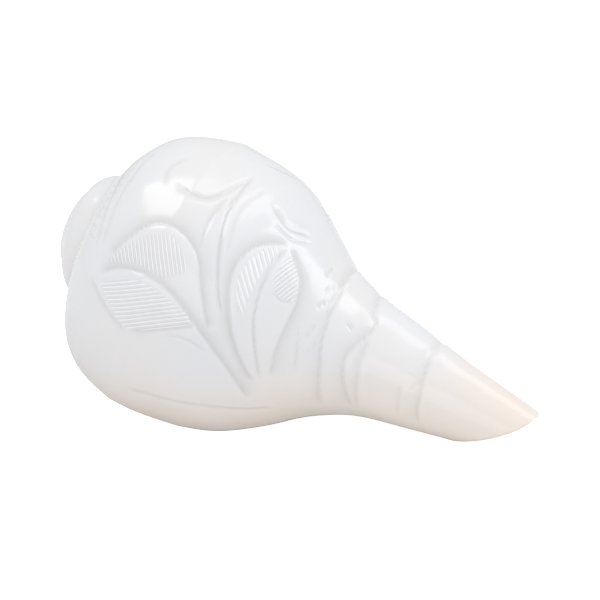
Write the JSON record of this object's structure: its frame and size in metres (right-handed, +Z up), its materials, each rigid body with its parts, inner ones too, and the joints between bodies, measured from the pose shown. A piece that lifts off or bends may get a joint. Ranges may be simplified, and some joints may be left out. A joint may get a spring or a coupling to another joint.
{
  "type": "conch shell",
  "caption": "Polished conch shell with a low spire, a swollen last whorl and a long open canal, for display on a shelf or table.",
  "frame": {"origin": "centre of the bounding box in plan, on the surface the shell rests on", "axes": "+Z up, +X from the spire towards the tip of the canal, -Y the side where the outer lip meets the surface"},
  "size_m": [0.1446, 0.081, 0.0726],
  "materials": {
    "shell": "gloss"
  },
  "bodies": {
    "root": {"conch_shell": "shell"}
  },
  "joints": []
}
